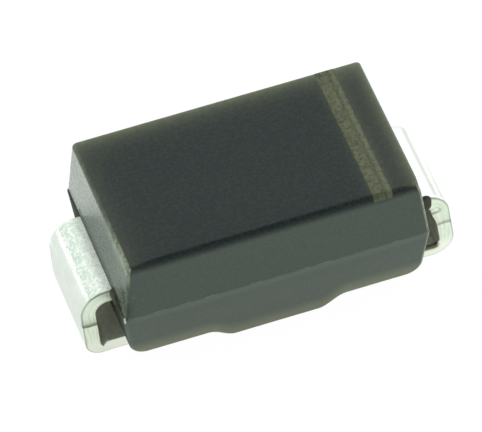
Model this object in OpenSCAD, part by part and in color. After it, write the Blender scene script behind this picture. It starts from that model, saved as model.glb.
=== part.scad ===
// Surge protection thyristor in a small two-lead surface-mount package.
// Millimetres. Z = 0 is the board under the feet, and the origin lies under the middle of the body.
// X runs along the body, with the banded cathode end at +X.

/* [Moulded body] */
// Length of the body's lower half at the parting line
body_length = 4.33; // [3.9:0.01:4.8]
// Width of the body's lower half at the parting line
body_width = 2.48; // [2.2:0.01:3.0]
// Height of the parting line above the board
parting_height = 1.23; // [1.15:0.01:1.4]
// Height of the body above the parting line
upper_height = 0.95; // [0.75:0.01:1.2]
// Step all round by which the upper half is set back from the lower half at the parting line
mould_step = 0.015; // [0.005:0.005:0.04]
// Draft of the end walls, in degrees
end_draft = 6; // [2:0.5:10]
// Draft of the side walls above the parting line, in degrees
upper_side_draft = 2.5; // [2:0.5:10]
// Draft of the side walls below the parting line, in degrees
lower_side_draft = 7.5; // [2:0.5:10]
// Rounding of the upright corners
corner_radius = 0.06; // [0.05:0.01:0.2]
// Rounding of the top edges
top_edge_radius = 0.07; // [0.03:0.01:0.1]
// Rounding of the edges under the middle pad
pad_edge_radius = 0.06; // [0.03:0.01:0.07]

/* [Underside] */
// Gap between the board and the pad under the middle of the body
standoff = 0.095; // [0.05:0.005:0.17]
// Height of the raised ends of the underside above the board
recess_height = 0.295; // [0.26:0.005:0.36]
// Length of the middle pad, between the middles of its flanks
pad_length = 1.58; // [1.2:0.01:1.9]
// Length over which each flank of the pad curves up to the raised end
flank_run = 0.4; // [0.1:0.01:0.5]
// Rounding where the underside turns up into the end walls
end_radius = 0.25; // [0.05:0.01:0.3]

/* [Leads] */
// Width of both leads
lead_width = 1.39; // [1.2:0.01:1.65]
// Thickness of the lead strip
lead_thickness = 0.21; // [0.15:0.01:0.22]
// Inside radius of the bend at the shoulder
shoulder_radius = 0.19; // [0.12:0.01:0.25]
// Distance that the anode lead stands out past the body's end
anode_overhang = 0.45; // [0.43:0.005:0.6]
// Distance that the cathode lead stands out past the body's end
cathode_overhang = 0.53; // [0.48:0.005:0.6]
// Lean of the anode lead's leg in towards its foot, in degrees
anode_lean = 3; // [0:0.5:8]
// Lean of the cathode lead's leg out towards its foot, in degrees
cathode_lean = 6; // [0.5:0.5:8]
// Inside radius of the fold above the anode foot
anode_heel_radius = 0.03; // [0.02:0.01:0.15]
// Inside radius of the fold above the cathode foot
cathode_heel_radius = 0.1; // [0.02:0.01:0.15]
// Length of each foot, from the outside of the lead
foot_length = 1.15; // [0.8:0.01:1.4]
// Height of the trim nick in the anode lead's edges above the board
anode_nick_height = 0.64; // [0.5:0.01:0.65]
// Height of the trim nick in the cathode lead's edges above the board
cathode_nick_height = 0.63; // [0.5:0.01:0.65]
// Depth of the trim nicks
nick_depth = 0.025; // [0.01:0.005:0.05]

/* [Inside] */
// Side of the square silicon chip
chip_side = 1.3; // [1.0:0.01:1.45]
// Thickness of the chip
chip_thickness = 0.25; // [0.2:0.01:0.35]
// Thickness of each solder joint on the chip
solder_thickness = 0.04; // [0.03:0.01:0.08]
// Border of the anode lead's pad past the chip
pad_margin = 0.05; // [0.02:0.01:0.1]
// Border of the chip left clear by the cathode lead's contact
contact_margin = 0.16; // [0.1:0.01:0.25]
// Gap between the chip's edge and the joggle of each lead
joggle_gap = 0.2; // [0.15:0.01:0.25]
// Slope of the joggles, in degrees
joggle_slope = 45; // [35:1:60]
// Radius of the half-round notches that lock each lead in the resin
lock_radius = 0.18; // [0.1:0.01:0.22]

/* [Polarity band] */
// Width of the band
band_width = 0.27; // [0.15:0.005:0.4]
// Distance from the body's cathode end to the band
band_inset = 0.48; // [0.3:0.005:0.8]
// Depth of the marked layer
band_depth = 0.03; // [0.02:0.005:0.05]

/* [Hidden] */

$fn = 64;
// Steps in each rounded corner, rounded edge, flank curve and arc of an outline
corner_steps = 6;
edge_steps = 4;
flank_steps = 8;
arc_steps = 12;
// How far a cutting shape runs past what it cuts
past = 1;

body_top = parting_height + upper_height;
lower_height = parting_height - standoff;
upper_length = body_length - 2 * mould_step;
upper_width = body_width - 2 * mould_step;
// Underside of the lead strip where it leaves the body: its top lies in the parting plane
strip_base = parting_height - lead_thickness;
// The chip lies level with the strip, over the anode lead's pad and under the cathode lead's contact
strip_middle = parting_height - lead_thickness / 2;
chip_base = strip_middle - chip_thickness / 2;
chip_top = strip_middle + chip_thickness / 2;
pad_top = chip_base - solder_thickness;
contact_base = chip_top + solder_thickness;
joggle_inner = chip_side / 2 + joggle_gap;
joggle_outer = joggle_inner + (contact_base - strip_base) / tan(joggle_slope);
anode_pad_width = chip_side + 2 * pad_margin;
contact_width = chip_side - 2 * contact_margin;
// The lock notches lie midway between the joggle and the body's end
lock_place = (joggle_outer + body_length / 2) / 2;

// Extrudes an X-Z outline evenly to both sides of the X-Z plane
module across(width) {
    rotate([90, 0, 0]) linear_extrude(width, center = true) children();
}

// Points along an arc of an outline
function arc(centre, radius, from, to) = [
    for (step = [0:arc_steps])
        let (angle = from + (to - from) * step / arc_steps)
        centre + radius * [cos(angle), sin(angle)]
];

// One level of the body: a rectangle with rounded corners, as points
function level(half_length, half_width, z) = [
    for (quarter = [0:3], step = [0:corner_steps])
        let (
            angle = 90 * (quarter + step / corner_steps),
            end = quarter == 0 || quarter == 3 ? 1 : -1,
            side = quarter < 2 ? 1 : -1
        )
        [
            end * (half_length - corner_radius) + corner_radius * cos(angle),
            side * (half_width - corner_radius) + corner_radius * sin(angle),
            z
        ]
];

// Half the distance between two drafted walls at height h over the flat face that they meet
// in edges of the given radius. flat_half is where the straight walls would cross that face.
function wall_half(h, flat_half, draft, radius) =
    let (
        arc_height = radius * (1 - sin(draft)),
        arc_centre = flat_half + arc_height * tan(draft) - radius * cos(draft)
    )
    h >= arc_height
        ? flat_half + h * tan(draft)
        : arc_centre + sqrt(radius ^ 2 - (radius - h) ^ 2);

// Heights over a flat face at which its rounded edge is drawn
function edge_heights(radius) = [
    for (step = [0:edge_steps]) radius * (1 - cos(90 * step / edge_steps))
];

// Level of the lower half at height h over the middle pad
function lower_level(h) = level(
    wall_half(h, body_length / 2 - lower_height * tan(end_draft), end_draft, pad_edge_radius),
    wall_half(h, body_width / 2 - lower_height * tan(lower_side_draft), lower_side_draft, pad_edge_radius),
    standoff + h
);

// Level of the upper half at depth h under the top face
function upper_level(h) = level(
    wall_half(h, upper_length / 2 - upper_height * tan(end_draft), end_draft, top_edge_radius),
    wall_half(h, upper_width / 2 - upper_height * tan(upper_side_draft), upper_side_draft, top_edge_radius),
    body_top - h
);

function reversed(list) = [for (i = [len(list) - 1:-1:0]) list[i]];

// Skins a stack of levels, lowest first
module loft(levels) {
    count = len(levels[0]);
    floor_face = [for (i = [0:count - 1]) i];
    roof_face = [for (i = [count - 1:-1:0]) (len(levels) - 1) * count + i];
    wall_faces = [
        for (k = [0:len(levels) - 2], i = [0:count - 1])
            let (j = (i + 1) % count)
            [k * count + i, (k + 1) * count + i, (k + 1) * count + j, k * count + j]
    ];
    polyhedron([for (points = levels) each points], concat([floor_face], wall_faces, [roof_face]));
}

// Outside of the body before the underside's ends are raised
module body_blank() {
    loft(concat(
        [for (h = edge_heights(pad_edge_radius)) lower_level(h)],
        [level(body_length / 2, body_width / 2, parting_height)],
        [level(upper_length / 2, upper_width / 2, parting_height)],
        [for (h = reversed(edge_heights(top_edge_radius))) upper_level(h)]
    ));
}

// What is missing under the +X end: from the pad's curved flank along the raised end
// and round the rounded edge into the end wall
module end_recess() {
    rise = recess_height - standoff;
    flank = [
        for (step = [0:flank_steps])
            let (s = step / flank_steps)
            [pad_length / 2 + flank_run * (s - 0.5), standoff + rise * (1 - cos(180 * s)) / 2]
    ];
    arc_z = recess_height + end_radius;
    wall_z = arc_z - end_radius * sin(end_draft);
    wall_x = body_length / 2 - (parting_height - wall_z) * tan(end_draft);
    arc_x = wall_x - end_radius * cos(end_draft);
    outside = [[wall_x + past, wall_z], [wall_x + past, -past], [flank[0].x, -past]];
    across(body_width + past)
        polygon(concat(flank, arc([arc_x, arc_z], end_radius, -90, -end_draft), outside));
}

// Space that the polarity band takes in the top of the body
module band_slab() {
    translate([body_length / 2 - band_inset - band_width, -body_width / 2, body_top - band_depth])
        cube([band_width, body_width, past]);
}

// A lead from its joggle outwards, formed to reach out to x = reach: level at the shoulder,
// round the shoulder bend, down the leaning leg, round the heel and level again at the foot
module formed_strip(reach, lean, heel_radius) {
    shoulder_r = shoulder_radius + lead_thickness;
    heel_r = heel_radius + lead_thickness;
    drop = parting_height - shoulder_r - heel_r;
    // How far the shoulder bend's centre lies outside the heel's, so that the leg runs along both
    offset_x = (heel_r - shoulder_r + drop * sin(lean)) / cos(lean);
    shoulder_x = lean >= 0 ? reach - shoulder_r : reach - heel_r + offset_x;
    shoulder = [shoulder_x, parting_height - shoulder_r];
    heel = [shoulder_x - offset_x, heel_r];
    tip = reach - foot_length;
    across(lead_width)
        polygon(concat(
            [[joggle_outer, parting_height]],
            arc(shoulder, shoulder_r, 90, -lean),
            arc(heel, heel_r, -lean, -90),
            [[tip, 0], [tip, lead_thickness]],
            arc(heel, heel_radius, -90, -lean),
            arc(shoulder, shoulder_radius, -lean, 90),
            [[joggle_outer, strip_base]]
        ));
}

// A lead inside the body: over the joggle to the end of its pad, whose underside lies at pad_base
module joggled_strip(pad_end, pad_width, pad_base) {
    // Both faces turn at the mitre of the joggle's corners
    way = pad_base > strip_base ? 1 : -1;
    mitre = way * lead_thickness / 2 * tan(joggle_slope / 2);
    strip_end = joggle_outer + lead_thickness;
    across(pad_width)
        polygon([
            [pad_end, pad_base + lead_thickness],
            [joggle_inner + mitre, pad_base + lead_thickness],
            [joggle_outer + mitre, parting_height],
            [strip_end, parting_height],
            [strip_end, strip_base],
            [joggle_outer - mitre, strip_base],
            [joggle_inner - mitre, pad_base],
            [pad_end, pad_base]
        ]);
}

// One lead along +X, with the half-round notches that lock it in the resin
// and the nicks that its trimming left in the edges of its leg
module lead(reach, lean, heel_radius, nick_height, pad_end, pad_width, pad_base) {
    difference() {
        union() {
            formed_strip(reach, lean, heel_radius);
            joggled_strip(pad_end, pad_width, pad_base);
        }
        for (side = [-1, 1]) {
            translate([lock_place, side * lead_width / 2, strip_middle])
                cylinder(2 * lead_thickness, r = lock_radius, center = true);
            translate([reach, side * lead_width / 2, nick_height])
                rotate([45, 0, 0])
                    cube([foot_length, nick_depth * sqrt(2), nick_depth * sqrt(2)], center = true);
        }
    }
}

// A square plate centred over the origin, from one height to another
module plate(side, base, top) {
    translate([-side / 2, -side / 2, base]) cube([side, side, top - base]);
}

module anode_lead() {
    color("#d6ded1")
        mirror([1, 0, 0])
            lead(
                body_length / 2 + anode_overhang, anode_lean, anode_heel_radius, anode_nick_height,
                -anode_pad_width / 2, anode_pad_width, pad_top - lead_thickness
            );
}

module cathode_lead() {
    color("#d6ded1")
        lead(
            body_length / 2 + cathode_overhang, -cathode_lean, cathode_heel_radius, cathode_nick_height,
            -contact_width / 2, contact_width, contact_base
        );
}

module thyristor_chip() {
    color("#5d6470") plate(chip_side, chip_base, chip_top);
}

module anode_solder() {
    color("#a7abad") plate(chip_side, pad_top, chip_base);
}

module cathode_solder() {
    color("#a7abad") plate(contact_width, chip_top, contact_base);
}

module polarity_band() {
    color("#686a54")
        intersection() {
            body_blank();
            band_slab();
        }
}

// Space that the chip and its solder take in the resin, run on into the hollows of both leads
module chip_hollow() {
    plate(chip_side, pad_top - lead_thickness / 2, chip_top);
    plate(contact_width, strip_middle, contact_base + lead_thickness / 2);
}

// The resin is moulded round the leads, the chip and its solder, and so has their hollow in it
module moulded_body() {
    color("#3d4442")
        difference() {
            body_blank();
            end_recess();
            mirror([1, 0, 0]) end_recess();
            band_slab();
            anode_lead();
            cathode_lead();
            chip_hollow();
        }
}

moulded_body();
polarity_band();
anode_lead();
cathode_lead();
thyristor_chip();
anode_solder();
cathode_solder();
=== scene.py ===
# %% [markdown]
# # A surge protection thyristor
#
# The real part is a little over five millimetres long. A thyristor chip is soldered between two
# tin-plated copper strips, dark epoxy is moulded round it, the strips are bent down the ends and
# folded under as feet, and a laser marks a band across the cathode end.
# The packed CAD model is the fixed frame of this lesson. The pieces that show get finer meshes
# of the same form, every piece gets its finish, and light and camera come last.

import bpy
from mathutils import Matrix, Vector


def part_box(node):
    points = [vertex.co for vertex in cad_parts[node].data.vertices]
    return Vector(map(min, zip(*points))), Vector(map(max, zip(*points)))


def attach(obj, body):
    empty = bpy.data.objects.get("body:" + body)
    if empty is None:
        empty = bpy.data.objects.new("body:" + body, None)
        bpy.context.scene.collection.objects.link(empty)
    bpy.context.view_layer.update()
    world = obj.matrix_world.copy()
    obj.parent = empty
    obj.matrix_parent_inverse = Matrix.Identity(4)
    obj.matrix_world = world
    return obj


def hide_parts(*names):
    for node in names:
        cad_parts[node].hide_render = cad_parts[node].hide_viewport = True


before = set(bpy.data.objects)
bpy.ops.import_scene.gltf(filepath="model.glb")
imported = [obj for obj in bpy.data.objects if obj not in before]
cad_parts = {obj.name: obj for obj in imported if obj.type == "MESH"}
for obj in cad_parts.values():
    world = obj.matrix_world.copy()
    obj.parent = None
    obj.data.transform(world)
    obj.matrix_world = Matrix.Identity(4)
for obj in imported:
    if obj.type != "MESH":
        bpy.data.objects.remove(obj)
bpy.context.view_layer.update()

# %% [markdown]
# ## Measuring the frame
#
# A size that the CAD model holds is read from its nodes, so the meshes made here land on the
# solids that they stand for. The part is so small that millimetres are easier to think in, and
# Blender's tools are happier with numbers near one, so every mesh is built in millimetres and
# brought down to metres when it is finished.

# %% Sizes read from the nodes
import math

import bmesh
import bpy
import numpy as np
from mathutils import Matrix, Vector, noise

MM = 0.001
LEAD_OVER_PARTING = 0.005


def box_mm(node):
    """Lowest and highest corner of a CAD node, in millimetres."""
    low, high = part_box(node)
    return low / MM, high / MM


body_low, body_high = box_mm("moulded_body")
half_length = body_high.x
half_width = body_high.y
body_top = body_high.z
pad_height = body_low.z
lead_top = box_mm("anode_lead")[1].z
# The mould halves meet a hair below the upper face of the strips
parting_height = lead_top - LEAD_OVER_PARTING
band_low, band_high = box_mm("polarity_band")
print(f"body {2 * half_length:.2f} x {2 * half_width:.2f} mm, parting line at {parting_height:.2f} mm")

# %% [markdown]
# ## Helpers for meshes
#
# Each finished piece is one closed mesh in an object at the origin. Merging doubled points and
# then recalculating the normals makes sure that every face points outwards, and a count of the
# edges that don't join exactly two faces shows whether the mesh really is closed.

# %% Add and close a mesh
MERGE_DISTANCE = 1e-5


def add_object(name, mesh):
    """Puts a mesh into the scene as an object at the origin."""
    piece = bpy.data.objects.new(name, mesh)
    bpy.context.scene.collection.objects.link(piece)
    return piece


def mesh_in_mm(name, points, faces):
    """A mesh from points in millimetres."""
    mesh = bpy.data.meshes.new(name)
    mesh.from_pydata(np.asarray(points).tolist(), [], faces)
    return mesh


def close_mesh(mesh):
    """Merges doubled points, turns the faces outwards and shades them smooth."""
    work = bmesh.new()
    work.from_mesh(mesh)
    bmesh.ops.remove_doubles(work, verts=work.verts, dist=MERGE_DISTANCE)
    bmesh.ops.recalc_face_normals(work, faces=work.faces)
    for face in work.faces:
        face.smooth = True
    loose = sum(not edge.is_manifold for edge in work.edges)
    work.to_mesh(mesh)
    work.free()
    print(f"{mesh.name}: {len(mesh.polygons)} faces, {loose} open edges")


print("points closer than", MERGE_DISTANCE, "mm are merged")

# %% [markdown]
# No real surface is perfectly even, so most meshes get their points moved a little. A ripple is
# smooth noise, which gives the same numbers in every run. The last helper brings a piece down to
# metres, gives it a finish if one is passed, and hangs it from the body that it moves with.

# %% Move points and finish a piece
def read_points(mesh, what="co"):
    """The points of a mesh, or their normals, as an array."""
    values = np.empty(3 * len(mesh.vertices), np.float32)
    mesh.vertices.foreach_get(what, values)
    return values.reshape(-1, 3).astype(float)


def write_points(mesh, points):
    """Moves the points of a mesh."""
    mesh.vertices.foreach_set("co", np.asarray(points, np.float32).ravel())
    mesh.update()


def ripple(points, waves, seed):
    """Smooth random heights from -1 to 1 at points in millimetres, with so many waves a millimetre."""
    shift = Vector((seed, 2 * seed, 3 * seed))
    return np.array([noise.noise(Vector(point) * waves + shift) for point in points])


def finish_piece(name, mesh, material=None):
    """Brings a closed mesh down to metres and makes it a piece that moves with the body."""
    mesh.transform(Matrix.Scale(MM, 4))
    if material:
        mesh.materials.clear()
        mesh.materials.append(material)
    piece = add_object(name, mesh)
    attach(piece, "root")
    return piece


print("a finished piece is scaled by", MM)

# %% [markdown]
# ## Helpers for materials
#
# All finishes here are patterns worked out from the place on the piece, so no picture is needed.
# Object coordinates are scaled to millimetres first: a noise of scale 20 then has about twenty
# blotches per millimetre, which is easy to compare with the real thing.

# %% Colours and sockets
def linear(red, green, blue):
    """A colour given in the usual 0 to 255 steps, as the linear values that shaders want."""
    steps = np.array([red, green, blue]) / 255
    values = np.where(steps <= 0.04045, steps / 12.92, ((steps + 0.055) / 1.055) ** 2.4)
    return (*values.tolist(), 1.0)


def in_use(sockets, name):
    """The socket of that name that a node has in use. Some nodes keep one for each kind of data."""
    return next(socket for socket in sockets if socket.name == name and socket.enabled)


print("a middle grey in linear values:", [round(value, 3) for value in linear(128, 128, 128)])

# %% Build material nodes
class Finish:
    """A material under construction: its shader, and short ways to add nodes to it."""

    def __init__(self, name):
        self.material = bpy.data.materials.new(name)
        self.material.use_nodes = True
        self.tree = self.material.node_tree
        self.shader = self.tree.nodes["Principled BSDF"]
        place = self.tree.nodes.new("ShaderNodeTexCoord")
        self.place = self.node("ShaderNodeVectorMath", operation="SCALE")
        self.place.inputs["Scale"].default_value = 1 / MM
        self.link(place.outputs["Object"], self.place.inputs[0])

    def node(self, kind, **settings):
        made = self.tree.nodes.new(kind)
        for key, value in settings.items():
            setattr(made, key, value)
        return made

    def link(self, source, target):
        if isinstance(source, (int, float)):
            target.default_value = source
        else:
            self.tree.links.new(source, target)

    def noise(self, scale, detail=2.0, roughness=0.5, place=None):
        """Noise from 0 to 1 with that many blotches per millimetre, or per step of another place."""
        made = self.node("ShaderNodeTexNoise")
        made.inputs["Scale"].default_value = scale
        made.inputs["Detail"].default_value = detail
        made.inputs["Roughness"].default_value = roughness
        self.link(place or self.place.outputs[0], made.inputs["Vector"])
        return made.outputs["Fac"]

    def cells(self, scale):
        """Grains: the distance to the middle of each, and a number that each has by chance."""
        made = self.node("ShaderNodeTexVoronoi")
        made.inputs["Scale"].default_value = scale
        self.link(self.place.outputs[0], made.inputs["Vector"])
        split = self.node("ShaderNodeSeparateColor")
        self.link(made.outputs["Color"], split.inputs[0])
        return made.outputs["Distance"], split.outputs[0]

    def attribute(self, name):
        """A number that the piece's points carry."""
        return self.node("ShaderNodeAttribute", attribute_name=name).outputs["Fac"]

    def along(self, axis):
        """The place along an axis, in millimetres. Along Z that is the height over the board."""
        split = self.node("ShaderNodeSeparateXYZ")
        self.link(self.place.outputs[0], split.inputs[0])
        return split.outputs[axis]

    def math(self, operation, first, second=0.0):
        made = self.node("ShaderNodeMath", operation=operation)
        self.link(first, made.inputs[0])
        self.link(second, made.inputs[1])
        return made.outputs[0]

    def span(self, value, low, high, to_low=0.0, to_high=1.0):
        """Maps low..high to to_low..to_high, smoothly and without going past either."""
        made = self.node("ShaderNodeMapRange", interpolation_type="SMOOTHSTEP")
        for name, number in (
            ("From Min", low), ("From Max", high), ("To Min", to_low), ("To Max", to_high),
        ):
            made.inputs[name].default_value = number
        self.link(value, made.inputs["Value"])
        return made.outputs["Result"]

    def blend(self, share, first, second):
        """Mixes two colours. Each is a fixed colour or the output of another node."""
        made = self.node("ShaderNodeMix", data_type="RGBA")
        self.link(share, made.inputs["Factor"])
        for name, colour in (("A", first), ("B", second)):
            socket = in_use(made.inputs, name)
            if isinstance(colour, tuple):
                socket.default_value = colour
            else:
                self.link(colour, socket)
        return in_use(made.outputs, "Result")

    def bump(self, height, depth):
        """Roughens the surface by a height pattern. depth is in millimetres."""
        made = self.node("ShaderNodeBump")
        made.inputs["Distance"].default_value = depth * MM
        self.link(height, made.inputs["Height"])
        self.link(made.outputs["Normal"], self.shader.inputs["Normal"])


print("a finish offers:", [name for name in vars(Finish) if not name.startswith("_")])

# %% [markdown]
# ## Moulded epoxy
#
# Moulding compound is epoxy filled with ground silica and blackened. The mould's top is polished,
# so there the resin is almost black and most of what the eye sees is a soft gloss. The mould's
# walls are spark-eroded, which leaves a paler, finely pitted skin with grains of filler in it.
# One finish covers both. The body carries numbers that say where it is wall, where the top ends in a
# border, where the underside is near, where an edge is worn and carries a painted highlight, and how
# smooth the skin is, which also paints the raw end walls dark as shade.

# %% The resin's finish
def make_resin():
    finish = Finish("moulded_resin")
    names = ("wall", "rim", "low", "worn", "matt")
    wall, rim, low, worn, matt = (finish.attribute(name) for name in names)
    grain = finish.noise(26.0, 2.0, 0.6)
    drift = finish.noise(13.0, 2.0)
    # The polished top turns towards blue here and towards green there, and olive at its borders
    black = finish.blend(finish.span(drift, 0.38, 0.62), linear(2, 20, 28), linear(8, 23, 19))
    top = finish.blend(finish.span(grain, 0.4, 0.7, 0.0, 0.6), black, linear(44, 53, 49))
    border = finish.math("MULTIPLY", rim, finish.span(drift, 0.25, 0.75, 0.8, 1.0))
    bordered = finish.blend(border, top, linear(134, 138, 109))
    # The walls are paler, most of all low down, and olive at the underside's edge
    height = finish.along("Z")
    upper = finish.blend(finish.span(grain, 0.35, 0.7), linear(71, 81, 74), linear(81, 92, 84))
    lower = finish.blend(finish.span(grain, 0.35, 0.7), linear(79, 88, 81), linear(89, 99, 91))
    darker = finish.span(height, parting_height - 0.5, parting_height - 0.2, 0.0, 0.6)
    above = finish.span(height, parting_height - 0.05, parting_height)
    walls = finish.blend(finish.math("MAXIMUM", darker, above), lower, upper)
    off_parting = finish.math("ABSOLUTE", finish.math("SUBTRACT", height, parting_height - 0.06))
    freshened = finish.blend(finish.span(off_parting, 0.1, 0.01, 0.0, 0.3), walls, linear(108, 118, 110))
    eroded = finish.blend(low, freshened, linear(138, 140, 118))
    skin = finish.blend(wall, bordered, eroded)
    # Raw and crumbled skin is painted dark; on the ledge and the lower end walls that darkness is painted
    # shade
    raw_and_shaded = finish.blend(finish.span(matt, 0.13, 0.45), skin, linear(61, 62, 50))
    # Few of the cells hold a grain of filler at the surface
    near, chance = finish.cells(9.0)
    speck = finish.math("LESS_THAN", near, 0.12)
    speck = finish.math("MULTIPLY", speck, finish.math("GREATER_THAN", chance, 0.9))
    speck = finish.math("MULTIPLY", speck, finish.math("MULTIPLY", wall, 0.35))
    specked = finish.blend(speck, raw_and_shaded, linear(150, 158, 142))
    # Worn edges are painted pale, partly as wear and partly as a painted highlight
    rubbed = finish.math("MULTIPLY", worn, finish.span(drift, 0.3, 0.65, 0.3, 0.9))
    colour = finish.blend(rubbed, specked, linear(174, 184, 158))
    finish.link(colour, finish.shader.inputs["Base Color"])
    gloss = finish.math("ADD", finish.span(grain, 0.3, 0.75, 0.37, 0.49), matt)
    finish.link(gloss, finish.shader.inputs["Roughness"])
    finish.shader.inputs["IOR"].default_value = 1.4
    finish.bump(finish.noise(30.0, 3.0, 0.65), 0.0025)
    return finish.material


resin = make_resin()
print("finish:", resin.name)

# %% [markdown]
# ## The body
#
# The body is one moulding. Its two halves are drafted away from the parting line so that they
# leave the mould, the upper half is set back by a hair because the mould halves don't meet
# exactly, its top edges are slightly rounded, and underneath it has a pad in the middle and
# raised, rounded ends that leave room for the feet.
# A box with a bevel can't follow that underside. Here the outline seen from the front is drawn
# once, as lines and arcs. A belt carries it across the width, a rounded strip turns the belt's
# edges into the side walls, and each side wall is filled by patches between its own borders.

# %% Outline of the body from the front
MOULD_STEP = 0.015
END_DRAFT = math.radians(6)
TOP_EDGE_RADIUS = 0.07
END_RADIUS = 0.25
RAISED_HEIGHT = 0.295
PAD_LENGTH = 1.58
FLANK_RUN = 0.4
OUTLINE_STEPS = {
    "top": 81, "top edge": 6, "upper end": 36, "ledge": 1, "lower end": 28, "end arc": 10,
    "raised end": 27, "flank": 14, "pad": 41,
}


def line(start, end, steps):
    """Points along a straight line."""
    return np.linspace(start, end, steps + 1)


def arc(centre, radius, start, end, steps):
    """Points along an arc. The angles are in radians."""
    angles = np.linspace(start, end, steps + 1)
    return np.asarray(centre) + radius * np.stack([np.cos(angles), np.sin(angles)], 1)


def half_outline():
    """The +X half as stretches of (x, z), from the middle of the top to the middle of the pad."""
    lean = math.tan(END_DRAFT)
    upper_length = half_length - MOULD_STEP
    edge_z = body_top - TOP_EDGE_RADIUS
    edge_x = upper_length - (edge_z - parting_height) * lean - TOP_EDGE_RADIUS / math.cos(END_DRAFT)
    top_arc = arc((edge_x, edge_z), TOP_EDGE_RADIUS, math.pi / 2, END_DRAFT, OUTLINE_STEPS["top edge"])
    arc_z = RAISED_HEIGHT + END_RADIUS
    arc_x = half_length - (parting_height - arc_z) * lean - END_RADIUS / math.cos(END_DRAFT)
    end_arc = arc((arc_x, arc_z), END_RADIUS, -END_DRAFT, -math.pi / 2, OUTLINE_STEPS["end arc"])
    ledge_in, ledge_out = (upper_length, parting_height), (half_length, parting_height)
    share = np.linspace(1, 0, OUTLINE_STEPS["flank"] + 1)
    flank_x = PAD_LENGTH / 2 + FLANK_RUN * (share - 0.5)
    flank_z = pad_height + (RAISED_HEIGHT - pad_height) * (1 - np.cos(math.pi * share)) / 2
    flank = np.stack([flank_x, flank_z], 1)
    return {
        "top": line((0, body_top), top_arc[0], OUTLINE_STEPS["top"]),
        "top edge": top_arc,
        "upper end": line(top_arc[-1], ledge_in, OUTLINE_STEPS["upper end"]),
        "ledge": line(ledge_in, ledge_out, OUTLINE_STEPS["ledge"]),
        "lower end": line(ledge_out, end_arc[0], OUTLINE_STEPS["lower end"]),
        "end arc": end_arc,
        "raised end": line(end_arc[-1], flank[0], OUTLINE_STEPS["raised end"]),
        "flank": flank,
        "pad": line(flank[-1], (0, pad_height), OUTLINE_STEPS["pad"]),
    }


stretches = half_outline()
print({name: len(points) - 1 for name, points in stretches.items()})

# %% [markdown]
# The edges between the belt and the side walls are rounded by different amounts, so each stretch
# of the outline has a radius at its start and at its end. The front edge of the top is blunter:
# it is rounded further down than across, and eases into the corners. On the upright stretches the
# rounding is measured level, so that the ledge at the parting line stays flat. The side walls are
# drafted too.

# %% Radii and drafts of the sides
EDGE_RADII = {
    "top": (0.035, 0.035), "top edge": (0.035, 0.045), "upper end": (0.045, 0.045), "ledge": (0.045, 0.045),
    "lower end": (0.045, 0.06), "end arc": (0.06, 0.04), "raised end": (0.04, 0.04), "flank": (0.04, 0.04),
    "pad": (0.04, 0.04),
}
FRONT_INSET = 0.03
FRONT_DROP = 0.115
FRONT_BLUNTNESS = 1.2
FRONT_RUN_IN = 0.3
UPPER_SIDE_DRAFT = math.radians(3.35)
LOWER_SIDE_DRAFT = math.radians(7.5)


def smooth_step(values, low, high):
    """0 below low, 1 above high and a smooth rise between."""
    share = np.clip((values - low) / (high - low), 0, 1)
    return share * share * (3 - 2 * share)


def half_width_at(z, in_upper_half):
    """Half the body's width at a height."""
    above = half_width - (z - parting_height) * math.tan(UPPER_SIDE_DRAFT)
    below = half_width - (parting_height - z) * math.tan(LOWER_SIDE_DRAFT)
    return np.where(in_upper_half, above, below)


print(f"the top is {2 * half_width_at(body_top, True):.3f} mm wide before its edges are rounded")

# %% Belt and rounded strips
UPRIGHT = ("upper end", "ledge", "lower end")
UPPER_HALF = ("top", "top edge", "upper end", "ledge")
ROUND_STEPS = 8
BELT_STEPS = 90


def whole_loop(halves):
    """Joins the stretches of one half, and their mirror image, to a closed loop."""
    half = np.concatenate([points[:-1] for points in halves[:-1]] + [halves[-1]])
    return half, half[-2:0:-1]


right, left = whole_loop(list(stretches.values()))
loop = np.concatenate([right, left * (-1, 1)])
names = np.concatenate(whole_loop([np.full(len(points), name) for name, points in stretches.items()]))
ahead = np.roll(loop, -1, axis=0) - np.roll(loop, 1, axis=0)
outward = np.stack([-ahead[:, 1], ahead[:, 0]], 1) / np.linalg.norm(ahead, axis=1)[:, None]
upright = np.isin(names, UPRIGHT)
outward[upright] = np.stack([np.sign(loop[upright, 0]), np.zeros(upright.sum())], 1)
in_upper = np.isin(names, UPPER_HALF)
radii = np.concatenate(whole_loop(
    [np.linspace(*EDGE_RADII[name], len(points)) for name, points in stretches.items()]
))


def rounded_edge(insets, drops, bluntness):
    """The strip between belt and side wall: its (x, z) and its distance from the middle."""
    turn = np.linspace(math.pi / 2, 0, ROUND_STEPS + 1)
    fall = drops[:, None] * (1 - np.cos(turn) ** bluntness)
    xz = loop[:, None] - fall[..., None] * outward[:, None]
    y = half_width_at(xz[..., 1], in_upper[:, None]) - insets[:, None] * (1 - np.sin(turn) ** bluntness)
    return xz, y


from_corner = stretches["top"][-1][0] - np.abs(loop[:, 0])
blunt = np.where(names == "top", smooth_step(from_corner, 0, FRONT_RUN_IN), 0)
front_xz, front_y = rounded_edge(radii + blunt * FRONT_INSET, radii + blunt * FRONT_DROP, FRONT_BLUNTNESS)
back_xz, back_y = rounded_edge(radii, radii, 1.0)
share = np.linspace(0, 1, BELT_STEPS + 1)[1:-1]
middle_y = (share - 1) * front_y[:, -1:] + share * back_y[:, -1:]
middle_xz = np.repeat(loop[:, None], BELT_STEPS - 1, axis=1)
across_y = np.concatenate([-front_y, middle_y, back_y[:, ::-1]], axis=1)
across_xz = np.concatenate([front_xz, middle_xz, back_xz[:, ::-1]], axis=1)
belt = np.stack([across_xz[..., 0], across_y, across_xz[..., 1]], -1)
print("belt of", belt.shape[0], "by", belt.shape[1], "points")

# %% [markdown]
# A Coons patch fills the space between four border rows: each inner point is the sum of the two
# straight blends between opposite borders, less the blend of the four corners, which would count
# twice. Each side wall is two such patches with the ledge between them.

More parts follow.
